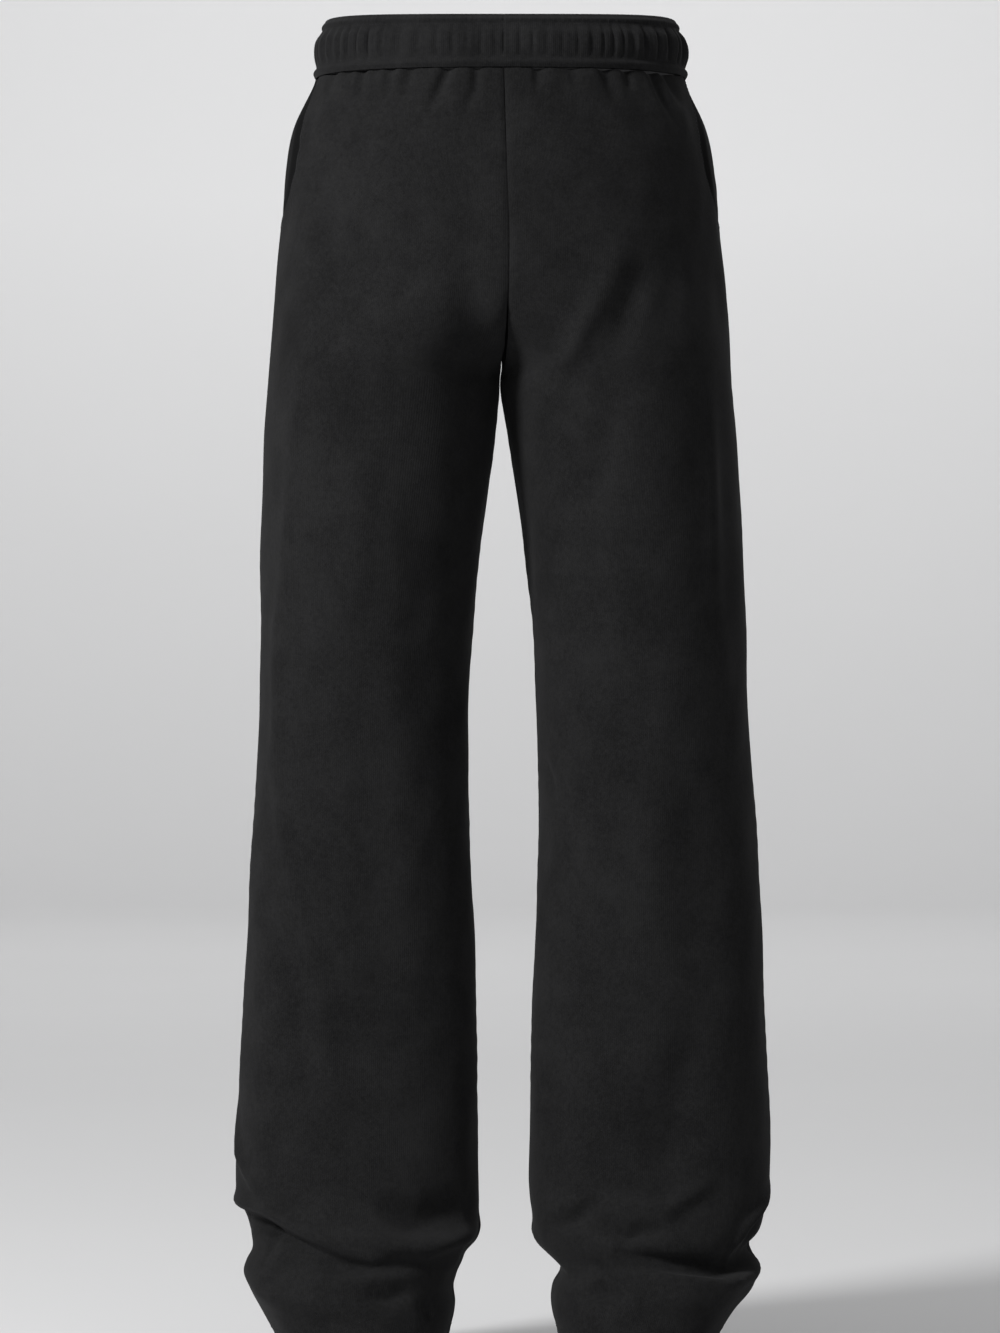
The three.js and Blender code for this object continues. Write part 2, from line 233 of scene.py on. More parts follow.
# Distances from the middle plane and depths of each leg's section, in millimetres.
SECTION_NAMES = ("z", "front", "back", "seam", "right_outer", "right_inner", "left_outer", "left_inner")
SECTIONS = np.array([
    (-20, -106, 107, 2, 146, 0, 146, 0),
    (-34, -108, 109, 3, 149.5, 0, 151, 0),
    (-67, -113, 118, 5, 164.5, 0, 165, 0),
    (-100, -117, 130, 8, 171, 0, 171.5, 0),
    (-146, -119, 143, 10, 174.5, 0, 175, 0),
    (-200, -117, 148, 12, 180.5, 0, 181, 0),
    (-268, -112, 139, 14, 185.5, 0, 186.5, 0),
    (-307, -108, 126, 12, 188, 3.2, 189.6, 5.6),
    (-355, -103, 113, 8, 189.6, 8.8, 192, 12.8),
    (-403, -98, 103, 4, 191.2, 15.2, 194.4, 19.2),
    (-470, -91, 88, 0, 192, 22.4, 197, 26.4),
    (-547, -84, 77, -3, 192.8, 25.6, 200, 30.4),
    (-643, -76, 76, 0, 198.4, 23.2, 206.4, 30.4),
    (-739, -69, 77, 4, 204.8, 20, 211.2, 27.2),
    (-835, -64, 74, 6, 209.6, 18.4, 216, 24.8),
    (-900, -69, 74, 4, 211.2, 16.8, 216.4, 23.2),
    (-921, -76, 76, 2, 209.6, 16.8, 213.6, 24),
    (-943, -88, 77, 0, 201.6, 18.4, 208, 27.2),
    (-957, -89, 71, -3, 199, 21.4, 201, 31.6),
    (-967, -87, 74, -5, 203.8, 25, 204, 38),
    (-978, -95, 82, -7, 205.8, 34, 205, 46),
    (-990, -103, 84, -9, 201, 38, 201.5, 42),
    (-1005, -105, 79, -11, 192.8, 36.8, 188.8, 41.4),
    (-1022, -108, 75, -13, 182.4, 40, 177.6, 45.6),
    (-1046, -110, 72, -15, 168, 46, 164, 52),
], dtype=float)
SEAM_DRIFT = np.array([(-20, 2.6), (-100, 5), (-165, 7), (-240, 5), (-268, 0)], dtype=float)
POCKET_MOUTH = np.array([(-25, 24), (-46, 32), (-68, 42), (-90, 47), (-112, 42), (-132, 24), (-146, 0)], float)


def smooth_column(rows, column, z):
    """One column of a table at each height, on a smooth curve through its rows."""
    keys, values = rows[::-1, 0], rows[::-1, column]
    slopes = np.empty_like(values)
    slopes[1:-1] = (values[2:] - values[:-2]) / (keys[2:] - keys[:-2])
    slopes[0] = (values[1] - values[0]) / (keys[1] - keys[0])
    slopes[-1] = (values[-1] - values[-2]) / (keys[-1] - keys[-2])
    i = np.clip(np.searchsorted(keys, z) - 1, 0, len(keys) - 2)
    step = keys[i + 1] - keys[i]
    t = np.clip((z - keys[i]) / step, 0, 1)
    return ((2 * t**3 - 3 * t**2 + 1) * values[i] + (t**3 - 2 * t**2 + t) * slopes[i] * step
            + (3 * t**2 - 2 * t**3) * values[i + 1] + (t**3 - t**2) * slopes[i + 1] * step)


def powered(value):
    """Squares a sine or a cosine off a little, so that the section isn't quite an ellipse."""
    return np.sign(value) * np.abs(value) ** CORNERING


def section(name, z):
    """One measure of the sections, such as left_outer, at each height."""
    return smooth_column(SECTIONS, SECTION_NAMES.index(name), z)


def form(leg, face, across, z):
    """The unfolded form: across runs from the side seam (0) to the middle seam or inseam (1)."""
    outer = section(leg + "_outer", z)
    inner = np.maximum(section(leg + "_inner", z), SEAM_GAP / 2)
    seam = section("seam", z)
    depth = section(face, z) - seam
    curve_top = -184.0 if face == "front" else -128.0
    t = np.clip((curve_top - z) / (curve_top - CROTCH), 0, 1)
    closed = t * t * (3 - 2 * t)
    radius = (outer - inner) / (1 + closed)
    angle = across * np.arccos(-np.clip(closed, 0, 1) ** (1 / CORNERING))
    x = outer - radius + radius * powered(np.cos(angle))
    y = seam + depth * powered(np.sin(angle))
    side = -1 if leg == "right" else 1
    drift = np.where(z > CROTCH, smooth_column(SEAM_DRIFT, 1, z), 0) if face == "front" else 0
    return np.stack([side * x + drift * (1 - (x / outer) ** 2), y, z + 0 * x], axis=-1)


# Folds round a leg.  Around runs 0 at the side seam, 0.5 at the front, 1 at the inseam,
# 1.5 at the back and 2 at the side again.  Out is the height of a ridge; a trough is < 0.
# Each row: leg, out, width, then the places (around, z) that the fold runs through.
LEG_FOLDS = [
    ("right", 4.5, 6, (-0.04, -921), (0.14, -922), (0.26, -926), (0.38, -942), (0.46, -954), (0.53, -960)),
    ("right", -8.0, 7, (0.0, -936), (0.2, -938), (0.3, -946), (0.4, -956), (0.52, -970)),
    ("right", 2.6, 6, (0.04, -850), (0.08, -884), (0.18, -903), (0.27, -923)),
    ("right", -2.4, 5, (0.23, -937), (0.22, -962)),
    ("right", -9.0, 15, (0.54, -922), (0.66, -930), (0.86, -926)),
    ("right", 5.5, 7, (0.48, -939), (0.57, -949), (0.69, -952), (0.82, -948), (0.95, -946)),
    ("right", 2.6, 5, (0.48, -979), (0.57, -975), (0.65, -974), (0.75, -981)),
    ("right", -5.0, 7, (0.54, -986), (0.62, -988), (0.7, -986)),
    ("right", -3.5, 7, (0.74, -992), (0.78, -1010)),
    ("right", 3.0, 10, (0.12, -985), (0.36, -992), (0.5, -1000)),
    ("right", -5.5, 8, (0.9, -962), (1.08, -970), (1.3, -955), (1.6, -940)),
    ("right", 5.0, 9, (1.02, -946), (1.3, -934), (1.62, -922), (1.9, -920)),
    ("right", -6.0, 8, (1.3, -986), (1.55, -990), (1.84, -974), (2.0, -962)),
    ("right", 3.0, 12, (1.2, -900), (1.5, -884), (1.7, -890)),
    ("left", -5.0, 15, (0.42, -780), (0.43, -811), (0.455, -869), (0.5, -906)),
    ("left", 5.0, 7, (0.64, -924), (0.59, -921), (0.52, -919), (0.47, -924), (0.44, -917), (0.37, -904)),
    ("left", 4.0, 22, (0.67, -800), (0.65, -840), (0.63, -880)),
    ("left", -5.5, 6, (0.8, -936), (0.75, -933), (0.69, -927), (0.62, -917)),
    ("left", 4.0, 7, (0.6, -928), (0.55, -931), (0.49, -930)),
    ("left", -5.5, 6, (0.63, -934), (0.55, -941), (0.49, -936)),
    ("left", -7.5, 7, (0.56, -957), (0.455, -964), (0.31, -969), (0.17, -965), (0.0, -958)),
    ("left", 4.5, 6, (0.6, -968), (0.46, -975), (0.3, -981), (0.14, -977), (0.0, -972)),
    ("left", 3.5, 5, (0.02, -912), (0.13, -926), (0.2, -938), (0.23, -951), (0.235, -962)),
    ("left", -3.0, 6, (0.07, -930), (0.14, -944), (0.16, -956)),
    ("left", 2.8, 4, (0.79, -987), (0.72, -979), (0.67, -974), (0.62, -979), (0.56, -988)),
    ("left", -4.5, 6, (0.74, -990), (0.67, -985), (0.59, -991)),
    ("left", -5.5, 9, (0.88, -972), (1.05, -968), (1.3, -974), (1.62, -958)),
    ("left", 5.0, 8, (0.96, -950), (1.24, -944), (1.56, -934), (1.86, -918)),
    ("left", -5.0, 8, (1.2, -996), (1.5, -986), (1.8, -990), (1.96, -976)),
    ("left", 3.0, 12, (1.3, -880), (1.52, -896), (1.74, -888)),
]

# Long soft drapes on the front and the back: face, out, width, then places (x, z).
FACE_FOLDS = [
    ("front", 2.0, 6, (-157, -262), (-163, -337), (-169, -414), (-175, -466), (-176, -569), (-171, -627),
     (-163, -666), (-151, -708), (-140, -742)),
    ("front", 2.6, 12, (-146, -720), (-139, -770), (-138, -811), (-123, -850)),
    ("front", -2.0, 12, (-172, -700), (-160, -760), (-150, -830)),
    ("front", 1.7, 6, (165, -262), (169, -369), (169, -440)),
    ("front", -1.6, 8, (176, -300), (182, -430), (186, -520)),
    ("front", -2.2, 4, (34, -570), (42, -600)),
    ("front", -4.5, 17, (-17, -176), (-22, -214), (-24, -252)),
    ("front", -1.8, 8, (-72, -198), (-82, -212)),
    ("front", 3.2, 9, (92, -176), (78, -208), (65, -234), (41, -283)),
    ("front", -2.8, 10, (112, -184), (102, -214), (88, -250)),
    ("front", -2.6, 14, (87, -268), (83, -327), (69, -380)),
    ("front", 1.8, 14, (-96, -300), (-110, -380), (-118, -470)),
    ("front", -2.0, 18, (-70, -330), (-66, -420), (-62, -500)),
    ("front", 1.8, 18, (128, -480), (122, -600), (112, -720)),
    ("front", -1.8, 20, (150, -560), (158, -680), (160, -780)),
    ("front", -1.8, 20, (-104, -560), (-98, -680), (-92, -790)),
    ("front", 1.6, 12, (60, -660), (54, -760), (56, -840)),
    ("back", -3.0, 10, (-22, -214), (-58, -262), (-104, -300)),
    ("back", -3.2, 10, (24, -218), (66, -270), (116, -296)),
    ("back", 2.6, 12, (-30, -250), (-74, -300), (-124, -326)),
    ("back", 2.6, 11, (36, -256), (84, -306), (128, -334)),
    ("back", -2.2, 12, (-126, -350), (-96, -400), (-80, -470)),
    ("back", -2.4, 12, (134, -362), (104, -420), (94, -480)),
    ("back", -3.0, 9, (-150, -560), (-104, -574), (-62, -560)),
    ("back", 2.6, 9, (-140, -584), (-96, -596), (-58, -590)),
    ("back", -3.0, 9, (62, -552), (112, -566), (154, -550)),
    ("back", 2.4, 10, (70, -586), (118, -594), (160, -578)),
    ("back", 2.2, 16, (-100, -640), (-110, -740), (-104, -850)),
    ("back", -2.2, 18, (-140, -660), (-146, -760), (-138, -860)),
    ("back", 2.2, 16, (130, -650), (124, -750), (130, -850)),
    ("back", -2.0, 18, (88, -640), (80, -740), (86, -850)),
]

# Gathers that run down out of the elastic: face, depth, width, then places (x, z).
GATHERS = [
    ("front", -3.4, 4.2, (-40, -27), (-47, -44), (-57, -66)),
    ("front", -3.0, 4.0, (-18, -27), (-19, -46), (-29, -68)),
    ("front", -1.6, 4.0, (-133, -27), (-138, -52)),
    ("front", -1.8, 4.0, (-110, -27), (-114, -58)),
    ("front", -1.6, 4.5, (-86, -27), (-92, -62)),
    ("front", -1.8, 4.0, (-70, -27), (-76, -54)),
    ("front", -2.6, 4.0, (29, -27), (28, -52)),
    ("front", -1.5, 4.0, (56, -27), (60, -50)),
    ("front", -2.6, 4.5, (82, -27), (91, -58)),
    ("front", -2.4, 3.6, (99, -27), (103, -46)),
    ("front", -3.2, 4.2, (120, -27), (129, -50), (142, -74)),
    ("front", -2.6, 3.6, (131, -27), (146, -56)),
    ("back", -2.8, 4.5, (-118, -25), (-126, -60)),
    ("back", -2.4, 4.2, (-92, -24), (-97, -72)),
    ("back", -3.0, 4.5, (-64, -23), (-66, -64)),
    ("back", -2.6, 4.0, (-34, -22), (-37, -78)),
    ("back", -2.2, 4.0, (-12, -21), (-13, -56)),
    ("back", -3.0, 4.5, (16, -21), (19, -74)),
    ("back", -2.4, 4.0, (46, -22), (48, -58)),
    ("back", -3.0, 4.5, (72, -23), (79, -80)),
    ("back", -2.4, 4.0, (98, -24), (104, -56)),
    ("back", -2.8, 4.2, (124, -25), (133, -70)),
]


def along_path(flat, path):
    """How far each place is from a path, and how far along the path it lies, 0 to 1."""
    path = np.array(path, dtype=float)
    lengths = np.linalg.norm(np.diff(path, axis=0), axis=1)
    travelled = np.concatenate([[0], np.cumsum(lengths)])
    nearest = np.full(flat.shape[:-1], 1e9)
    share = np.zeros(flat.shape[:-1])
    for start, end, length, before in zip(path[:-1], path[1:], lengths, travelled):
        run = (end - start) / length
        reach = np.clip((flat - start) @ run, 0, length)
        distance = np.linalg.norm(flat - start - reach[..., None] * run, axis=-1)
        closer = distance < nearest
        nearest = np.where(closer, distance, nearest)
        share = np.where(closer, (before + reach) / travelled[-1], share)
    return nearest, share


def fold_height(leg, face, around, base):
    """The sum of the folds at each place, outwards."""
    height = np.zeros(around.shape)
    z = base[..., 2]
    for name, out, width, *path in LEG_FOLDS:
        if name != leg:
            continue
        scaled = [(place[0] * HALF_GIRTH, place[1]) for place in path]
        for lap in (-2, 0, 2):
            flat = np.stack([(around + lap) * HALF_GIRTH, z], axis=-1)
            distance, share = along_path(flat, scaled)
            rise = FOLD_DEPTH * out * np.sin(np.pi * (0.1 + 0.8 * share))
            height += rise * np.exp(-(distance / width) ** 2)
    from_edge = np.clip(np.abs(np.sin(np.pi * around)) / 0.22, 0, 1)
    for name, out, width, *path in FACE_FOLDS:
        if name == face:
            distance, share = along_path(base[..., [0, 2]], path)
            fade = np.sin(np.pi * (0.08 + 0.84 * share)) * from_edge
            height += FOLD_DEPTH * out * fade * np.exp(-(distance / width) ** 2)
    for name, out, width, *path in GATHERS:
        if name == face:
            distance, share = along_path(base[..., [0, 2]], path)
            height += GATHER_DEPTH * out * np.cos(np.pi / 2 * share) * np.exp(-(distance / width) ** 2)
    # Between the named gathers the cloth ripples finely where the elastic draws it in.
    x = base[..., 0]
    ripple = np.sin(x / 2.1 + 1.7 * np.sin(x / 17.0)) * np.exp((z - WAIST_SEAM) / 15.0)
    height += 0.8 * ripple * (0.6 + 0.4 * np.sin(x / 23.0))
    # The whole cloth is a little uneven.
    side = -1 if leg == "right" else 1
    turn = around * np.pi * side
    height += 1.1 * np.sin(3 * turn + z / 97.0) * np.sin(z / 71.0 + 0.4 * side)
    height += 0.6 * np.sin(7 * turn - z / 43.0 + side) * np.sin(z / 37.0)
    height += 0.35 * np.sin(13 * turn + z / 29.0) * np.sin(z / 23.0 + side)
    return height


def outward(grid, side, face):
    """The outward direction at each point of a grid of rows and columns."""
    down = np.gradient(grid, axis=0)
    across = np.gradient(grid, axis=1)
    normal = np.cross(across, down)
    normal /= np.linalg.norm(normal, axis=-1, keepdims=True)
    return normal * (side if face == "front" else -side)


def even_shares(leg, face, z, start, columns):
    """Shares across a row that space its points evenly, from a distance past the side seam."""
    samples = np.linspace(0, 1, 121)
    line = form(leg, face, samples[None, :], z[:, None])
    steps = np.linalg.norm(np.diff(line, axis=1), axis=-1)
    travelled = np.concatenate([np.zeros((len(z), 1)), np.cumsum(steps, axis=1)], axis=1)
    shares = np.empty((len(z), columns + 1))
    for row in range(len(z)):
        end = travelled[row, -1] - SEAM_GAP / 2
        wanted = np.linspace(start[row], end, columns + 1)
        shares[row] = np.interp(wanted, travelled[row], samples)
    return shares


def tilted(z, face, shares):
    """Row heights, with the waist and the hem tilted between front and back."""
    facing = np.sin(np.pi / 2 * shares) ** 2
    hem_facing = np.sin(np.pi * shares)
    waist_share = np.clip(1 - (WAIST_SEAM - z) / WAIST_TILT_FADE, 0, 1)[:, None]
    hem_share = np.clip(1 - (z - HEM) / HEM_TILT_FADE, 0, 1)[:, None]
    waist = (WAIST_TILT_FRONT if face == "front" else WAIST_TILT_BACK) * facing
    hem = (HEM_TILT if face == "front" else -HEM_TILT) * hem_facing
    return z[:, None] + waist * waist_share + hem * hem_share


def cloth_grid(leg, face, z, start, columns, sunk=0.0):
    """Points of a panel's outer face, its folds included, and their outward directions."""
    side = -1 if leg == "right" else 1
    shares = even_shares(leg, face, z, start, columns)
    heights = tilted(z, face, shares)
    base = form(leg, face, shares, heights)
    around = shares if face == "front" else 2 - shares
    height = fold_height(leg, face, around, base)
    # Folds die away towards the middle seam, where both sides are sewn flat.
    middle = (shares > 0.9) & (heights > CROTCH - 60)
    height = np.where(middle, height * np.clip((1 - shares) / 0.1, 0, 1) ** 0.5, height)
    normal = outward(base, side, face)
    points = base + normal * (height - sunk)[..., None]
    return points, outward(points, side, face)


def grid_piece(name, points):
    """A grid primitive laid out row by row on the given places, with its flat size as UVs."""
    rows, columns = points.shape[:2]
    bpy.ops.object.select_all(action="DESELECT")
    bpy.ops.mesh.primitive_grid_add(x_subdivisions=columns - 1, y_subdivisions=rows - 1, size=1)
    piece = bpy.context.object
    piece.name = name
    piece.data.name = name
    piece.data.vertices.foreach_set("co", (points.reshape(-1, 3) * MM).ravel())
    steps = np.linalg.norm(np.diff(points, axis=1), axis=-1).mean(axis=0)
    falls = np.linalg.norm(np.diff(points, axis=0), axis=-1).mean(axis=1)
    u = np.concatenate([[0], np.cumsum(steps)]) * MM
    v = -np.concatenate([[0], np.cumsum(falls)]) * MM
    indices = np.empty(len(piece.data.loops), dtype=int)
    piece.data.loops.foreach_get("vertex_index", indices)
    uv = np.stack([u[indices % columns], v[indices // columns]], axis=-1)
    piece.data.uv_layers[0].data.foreach_set("uv", uv.ravel())
    piece.data.update()
    return piece


def select_only(piece):
    bpy.ops.object.select_all(action="DESELECT")
    bpy.context.view_layer.objects.active = piece
    piece.select_set(True)


def face_out(piece, probe, direction):
    """Turns a sheet over if the face nearest a place doesn't look the given way."""
    nearest = min(piece.data.polygons, key=lambda face: (face.center - Vector(probe)).length)
    if nearest.normal.dot(Vector(direction)) < 0:
        select_only(piece)
        bpy.ops.object.mode_set(mode="EDIT")
        bpy.ops.mesh.select_all(action="SELECT")
        bpy.ops.mesh.flip_normals()
        bpy.ops.object.mode_set(mode="OBJECT")


def thicken(piece, wall):
    """Gives a sheet its wall, inwards from the face that shows."""
    select_only(piece)
    solidify = piece.modifiers.new("wall", "SOLIDIFY")
    solidify.thickness = wall * MM
    solidify.offset = -1
    solidify.use_even_offset = False
    solidify.use_quality_normals = True
    bpy.ops.object.modifier_apply(modifier="wall")
    bpy.ops.object.shade_smooth_by_angle(angle=math.radians(50))


def edge_fade(drop, reach):
    """A value for each column of a panel that is greatest at its two sewn edges."""
    columns = np.arange(PANEL_COLUMNS + 1)
    distance = np.minimum(columns, columns[::-1]) * HALF_GIRTH / PANEL_COLUMNS
    return drop * np.clip(1 - distance / reach, 0, 1) ** 2


def mouth_cut(z):
    """How far forward of the side seam the pocket mouth's edge lies at each height."""
    return np.where(z > POCKET_MOUTH[-1, 0], smooth_column(POCKET_MOUTH, 1, z), 0)


panel_rows = np.linspace(WAIST_SEAM - SEAM_GAP, HEM, PANEL_ROWS)
panel_places = {}


def leg_panel(leg, face):
    cut = mouth_cut(panel_rows) if face == "front" else np.zeros(PANEL_ROWS)
    start = np.maximum(cut, SEAM_GAP / 2)
    points, normals = cloth_grid(leg, face, panel_rows, start, PANEL_COLUMNS)
    # The sewn edges roll down into the seam and pucker, and the top dips under the band.
    roll = edge_fade(1.5, 6.5)
    pucker = edge_fade(0.4, 14.0)
    puckers = np.sin(panel_rows / 2.6 + 1.5 * np.sin(panel_rows / 31.0)) * np.sin(panel_rows / 57.0)
    points = points - normals * (roll[None, :, None] + pucker[None, :, None] * puckers[:, None, None])
    waist_roll = 1.2 * np.clip(1 - (WAIST_SEAM - panel_rows) / 5.0, 0, 1) ** 2
    points = points - normals * waist_roll[:, None, None]
    panel_places[(leg, face)] = (points, normals)
    # The end turns under in a half circle and lies up against the inside as the hem.
    edge, level = points[-1], normals[-1].copy()
    level[:, 2] = 0
    level /= np.linalg.norm(level, axis=-1, keepdims=True)
    down = np.array([0, 0, -1.0])
    turned = [edge - level * HEM_BEND * (1 - np.cos(angle)) + down * HEM_BEND * np.sin(angle)
              for angle in np.linspace(0, np.pi, 7)[1:]]
    lifts = np.searchsorted(-panel_rows, -(HEM + np.linspace(2, HEM_DEPTH, 9)))
    tucked = [points[row] - normals[row] * 2 * HEM_BEND for row in lifts]
    sheet = np.concatenate([points, np.array(turned), np.array(tucked)])
    # Each sewn edge turns in by the seam allowance and reaches just past its neighbour.
    outwards = np.concatenate([normals, np.repeat(normals[-1:], len(turned), axis=0), normals[lifts] * 0.3])
    allowances = []
    for edge, beside in ((0, 1), (-1, -2)):
        past = sheet[:, edge] - sheet[:, beside]
        past /= np.linalg.norm(past, axis=-1, keepdims=True)
        allowances.append((sheet[:, edge] + past * SEAM_REACH - outwards[:, edge] * SEAM_TURN_IN)[:, None])
    sheet = np.concatenate([allowances[0], sheet, allowances[1]], axis=1)
    piece = grid_piece(f"{face}_{leg}_cloth", sheet)
    middle = points[PANEL_ROWS // 2, PANEL_COLUMNS // 2] * MM
    face_out(piece, middle, (0, -1 if face == "front" else 1, 0))
    thicken(piece, CLOTH_WALL)
    piece.data.materials.append(leg_cloth)
    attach(piece, "root")
    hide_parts(f"{face}_{leg}")


for leg_name in ("right", "left"):
    leg_panel(leg_name, "front")
    leg_panel(leg_name, "back")


# ---- the pocket bags --------------------------------------------------------------------
# One layer of thin black jersey behind each front, sewn into the side seam and the waist seam. Its colour is
# painted much darker than the fleece's, as painted shade for the shadow in the pocket mouth; it shows as a
# dark strip where the front's folded edge is cut back for the hand.
JERSEY_PAINTED_SHADE = (0.0015, 0.0015, 0.0016)
JERSEY_PAINTED_SHADE_MOTTLE = (0.0028, 0.0028, 0.0030)
JERSEY_RIBS = 0.0011
JERSEY_WALL = 1.2
BAG_FOOT = -209.0
BAG_ROWS, BAG_COLUMNS = 60, 110
BAG_SHARE = 0.42

# Painted shade: the pocket jersey's colours are far darker than the fleece's and stand in for the shadow in
# the pocket mouth.
pocket_shade_cloth = fleece("pocket_jersey_painted_shade", JERSEY_PAINTED_SHADE, JERSEY_PAINTED_SHADE_MOTTLE, JERSEY_RIBS)


def pocket_bag(leg):
    rows = np.linspace(WAIST_SEAM - 2 * SEAM_GAP, BAG_FOOT, BAG_ROWS)
    start = np.full(BAG_ROWS, 0.2)
    # The bag lies nearly flush in the mouth and dips under the front's edge beyond it.
    travelled = np.linspace(0, HALF_GIRTH, BAG_COLUMNS + 1)
    dip = np.clip((travelled[None, :] - mouth_cut(rows)[:, None] + 9) / 8, 0, 1)
    points = cloth_grid(leg, "front", rows, start, BAG_COLUMNS, sunk=0.7 + 2.6 * dip)[0]
    sheet = points[:, : int(BAG_COLUMNS * BAG_SHARE) + 1]
    piece = grid_piece(f"pocket_{leg}_bag", sheet)
    side = -1 if leg == "right" else 1
    face_out(piece, sheet[30, 12] * MM, (side, -0.3, 0))
    thicken(piece, JERSEY_WALL)
    piece.data.materials.append(pocket_shade_cloth)
    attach(piece, "root")
    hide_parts(f"pocket_{leg}")


for leg_name in ("right", "left"):
    pocket_bag(leg_name)


# ---- the waistband ----------------------------------------------------------------------
# A strip of the same fleece folded over flat elastic, joined at the middle of the front.
# It is stitched off near the top, which leaves a narrow ribbed header, and again just over
# the waist seam.  The elastic draws the cloth between the rows of stitches into gathers.
BAND_COLOUR = (0.0066, 0.0066, 0.0069)
BAND_WORN = (0.0140, 0.0140, 0.0144)
BAND_TOP, BAND_TILT_FRONT, BAND_TILT_BACK = 17.6, -5.6, 5.0
BAND_COLUMNS = 660
BAND_WALL = 1.2
LOWER_STITCHES, UPPER_STITCHES = 0.19, 0.85
# The outer face from its foot (0) to its top (1), and how far it stands out there.
BAND_FACE = np.array([(0, 0), (0.1, 1.8), (0.19, -0.6), (0.42, 0.5), (0.66, -0.6), (0.85, -5.2), (0.93, -5.0),
                      (1, -7.4)], dtype=float)

band_cloth = fleece("band_fleece", BAND_COLOUR, BAND_WORN)


def band_out(share):
    return smooth_column(BAND_FACE[::-1], 1, np.array([share]))[0]


def band_row(line, normal, out, share):
    """The band's outline at one share of its height, moved out by the given distances."""
    height = line[:, 2] + (line[:, 3] - line[:, 2]) * share
    return np.column_stack([line[:, :2] + normal * np.reshape(out, (-1, 1)), height])


def band_outline():
    """Round the waist from the right side: x, y, the band's foot and its top, and outward."""
    quarter = BAND_COLUMNS // 4
    z = np.array([WAIST_SEAM])
    line = []
    for leg, face, forward in (("right", "front", True), ("left", "front", False),
                               ("left", "back", True), ("right", "back", False)):
        shares = even_shares(leg, face, z, np.array([0.0]), quarter)[0]
        shares = shares[:-1] if forward else shares[:0:-1]
        facing = np.sin(np.pi / 2 * shares) ** 2
        foot = form(leg, face, shares, np.full(shares.shape, WAIST_SEAM))
        front = face == "front"
        low = WAIST_SEAM + (WAIST_TILT_FRONT if front else WAIST_TILT_BACK) * facing + SEAM_GAP
        high = BAND_TOP + (BAND_TILT_FRONT if front else BAND_TILT_BACK) * facing
        line.append(np.column_stack([foot[:, :2], low, high]))
    line = np.concatenate(line)
    line[:, :2] = sum(np.roll(line[:, :2], k, axis=0) for k in range(-4, 5)) / 9
    ahead, behind = np.roll(line, -1, axis=0), np.roll(line, 1, axis=0)
    along = (ahead - behind)[:, :2]
    along /= np.linalg.norm(along, axis=1, keepdims=True)
    normal = np.column_stack([along[:, 1], -along[:, 0]])
    normal *= np.sign((normal * line[:, :2]).sum(axis=1, keepdims=True))
    return line, normal


def gather_waves(line):
    """Uneven gathers round the band, deeper on the wearer's left, and the front join."""
    arc = np.concatenate([[0], np.cumsum(np.linalg.norm(np.diff(line[:, :2], axis=0), axis=1))])
    spread = arc + 6.0 * np.sin(arc / 41.0) + 3.0 * np.sin(arc / 17.0 + 1.0)
    strength = 0.75 + 0.35 * np.sin(arc / 57.0 + 0.6) + 0.25 * np.clip(line[:, 0] / 140.0, -1, 1)
    swell = np.abs(np.sin(spread / 3.7 + 0.5 * np.sin(spread / 12.0))) ** 0.8 - 0.6
    wide = strength * (2.9 * swell + 0.6 * np.sin(spread / 3.1 + 2.0) + 0.35 * np.sin(spread / 0.93))
    fine = 0.5 * np.sin(arc / 0.62 + 0.8 * np.sin(arc / 9.0)) + 0.25 * np.sin(spread / 1.4)
    join = -2.0 * np.exp(-((line[:, 0] - 2.6) / 1.1) ** 2) * (line[:, 1] < 0)
    return wide + join, fine + join


def waistband(line, normal):
    wide, fine = gather_waves(line)
    rows = []
    for share in [*np.linspace(0, 0.24, 12), *np.linspace(0.27, 0.8, 16), *np.linspace(0.83, 1, 11)]:
        between = (share - LOWER_STITCHES) / (UPPER_STITCHES - LOWER_STITCHES)
        middle = np.sin(np.pi * between) ** 0.6 if 0 < between < 1 else 0
        header = np.clip((share - 0.86) / 0.05, 0, 1)
        ridge = np.clip(1 - abs(share - 0.1) / 0.08, 0, 1)
        wave = wide * middle + fine * (0.45 * header + 0.2 * ridge)
        rows.append(band_row(line, normal, band_out(share) + wave, share))
    # The casing folds over at the top and comes down again on the inside.
    crown = rows[-1]
    for angle in np.linspace(0, np.pi, 6)[1:]:
        inward = 2.0 * (1 - np.cos(angle))
        rows.append(np.column_stack([crown[:, :2] - normal * inward, crown[:, 2] + 1.6 * np.sin(angle)]))
    for share in np.linspace(0.93, 0.0, 12):
        rows.append(band_row(line, normal, band_out(share) - 4.0 + 0.25 * wide, share))
    grid = np.array(rows)
    grid = np.concatenate([grid, grid[:, :1]], axis=1)
    piece = grid_piece("waistband_casing", grid)
    select_only(piece)
    bpy.ops.object.mode_set(mode="EDIT")
    bpy.ops.mesh.select_all(action="SELECT")
    bpy.ops.mesh.remove_doubles(threshold=0.00002)
    bpy.ops.object.mode_set(mode="OBJECT")
    face_out(piece, (0, -0.108, -0.01), (0, -1, 0))
    thicken(piece, BAND_WALL)
    piece.data.materials.append(band_cloth)
    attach(piece, "root")
    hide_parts("waistband")


band_line, band_normal = band_outline()
waistband(band_line, band_normal)


# ---- the stitches -----------------------------------------------------------------------
# Polyester thread in the cloth's own charcoal.  Two rows hold up each hem, one runs along
# each pocket mouth down to a dense bartack, and two close the waistband's casing.
THREAD_COLOUR = (0.0110, 0.0110, 0.0115)
THREAD_WORN = (0.0190, 0.0190, 0.0195)
THREAD_RIBS = 0.0004
THREAD_WALL = 0.15
HEM_ROW_SPACING = 5.5
BARTACK_STITCH, BARTACK_WIDTH = 0.8, 2.2

thread = fleece("sewing_thread", THREAD_COLOUR, THREAD_WORN, THREAD_RIBS)


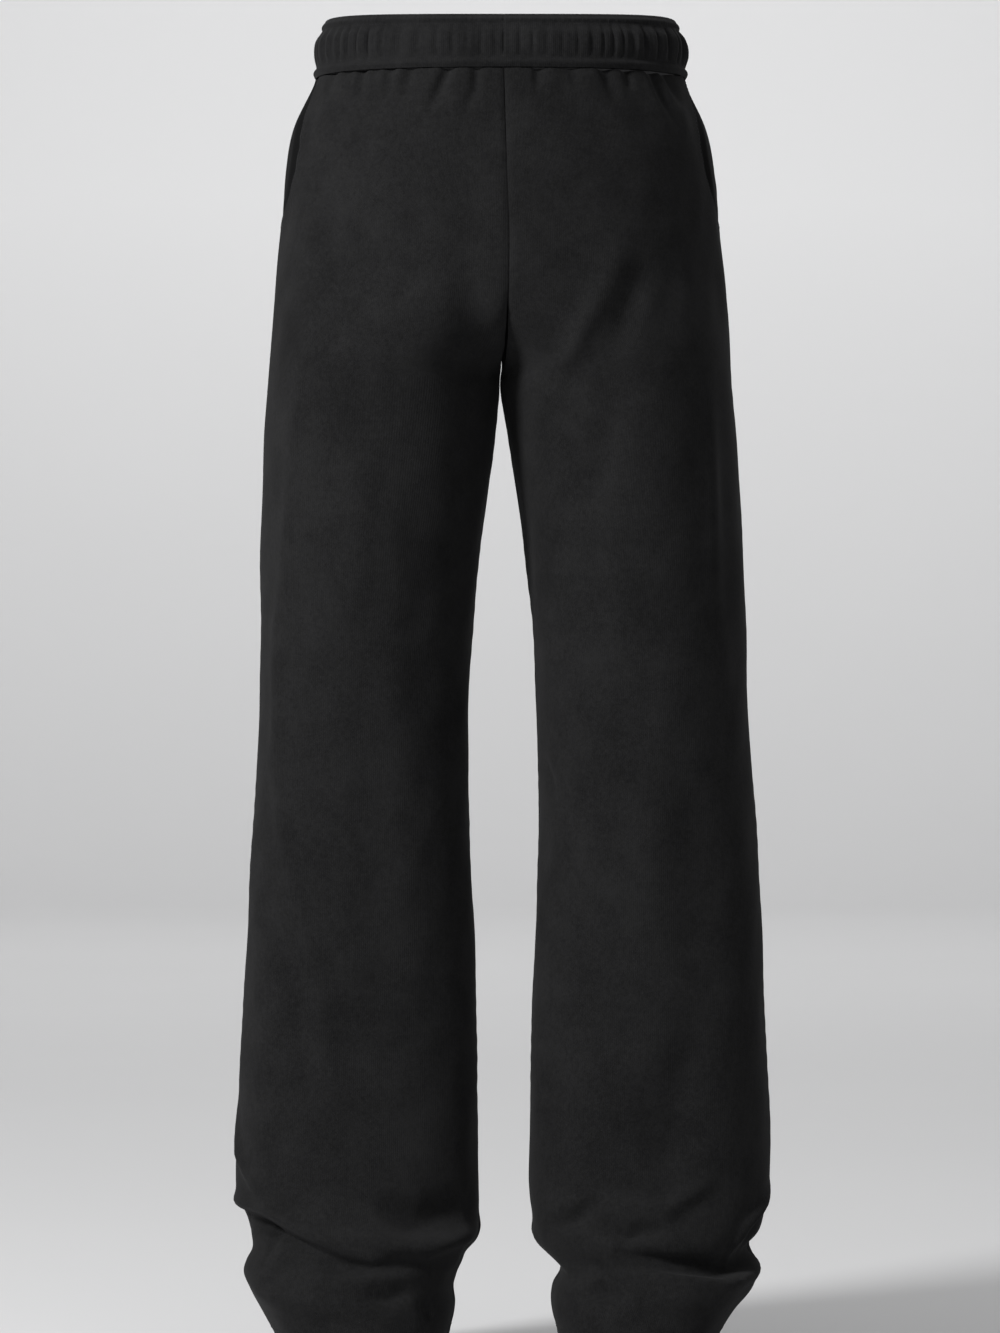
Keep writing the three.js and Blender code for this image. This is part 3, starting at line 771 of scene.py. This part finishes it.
def stitch_row(name, line, normal, length=3.0, width=0.9):
    """A row of thread stitches lying on the cloth along a line, as one thin scalloped ribbon."""
    travelled = np.concatenate([[0], np.cumsum(np.linalg.norm(np.diff(line, axis=0), axis=1))])
    count = max(4, int(travelled[-1] / length))
    places = np.linspace(0, travelled[-1], count * 4 + 1)
    centre = np.column_stack([np.interp(places, travelled, line[:, k]) for k in range(3)])
    up = np.column_stack([np.interp(places, travelled, normal[:, k]) for k in range(3)])
    up /= np.linalg.norm(up, axis=1, keepdims=True)
    along = np.gradient(centre, axis=0)
    along /= np.linalg.norm(along, axis=1, keepdims=True)
    sideways = np.cross(up, along)
    lift = 0.55 * np.abs(np.sin(np.pi * places * count / travelled[-1])) ** 0.6 - 0.25
    raised = up * lift[:, None]
    ends = up * 0.3
    rows = [centre + sideways * width / 2 - ends, centre + sideways * width / 4 + raised * 0.8,
            centre + raised, centre - sideways * width / 4 + raised * 0.8,
            centre - sideways * width / 2 - ends]
    piece = grid_piece(name, np.array(rows))
    face_out(piece, centre[len(centre) // 2] * MM, up[len(up) // 2])
    thicken(piece, THREAD_WALL)
    piece.data.materials.append(thread)
    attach(piece, "root")


for (leg_name, face_name), (points, normals) in panel_places.items():
    for number, lift in enumerate((HEM_DEPTH, HEM_DEPTH - HEM_ROW_SPACING)):
        row = int(np.argmin(np.abs(panel_rows - (HEM + lift))))
        name = f"hem_stitches_{face_name}_{leg_name}_{number}"
        stitch_row(name, points[row], normals[row])
    if face_name == "front":
        mouth = panel_rows > POCKET_MOUTH[-1, 0]
        stitch_row(f"pocket_stitches_{leg_name}", points[mouth, 2], normals[mouth, 2])
        end = int(np.argmin(np.abs(panel_rows - POCKET_MOUTH[-1, 0])))
        tack_line, tack_normal = points[end, :5], normals[end, :5]
        name = f"pocket_bartack_{leg_name}"
        stitch_row(name, tack_line, tack_normal, BARTACK_STITCH, BARTACK_WIDTH)

for number, share in enumerate((0.205, 0.835)):
    out = np.full(len(band_line), band_out(share) - 0.2)
    loop = band_row(band_line, band_normal, out, share)
    loop = np.concatenate([loop, loop[:1]])
    up = np.column_stack([np.concatenate([band_normal, band_normal[:1]]), np.zeros(len(loop))])
    stitch_row(f"band_stitches_{number}", loop, up)
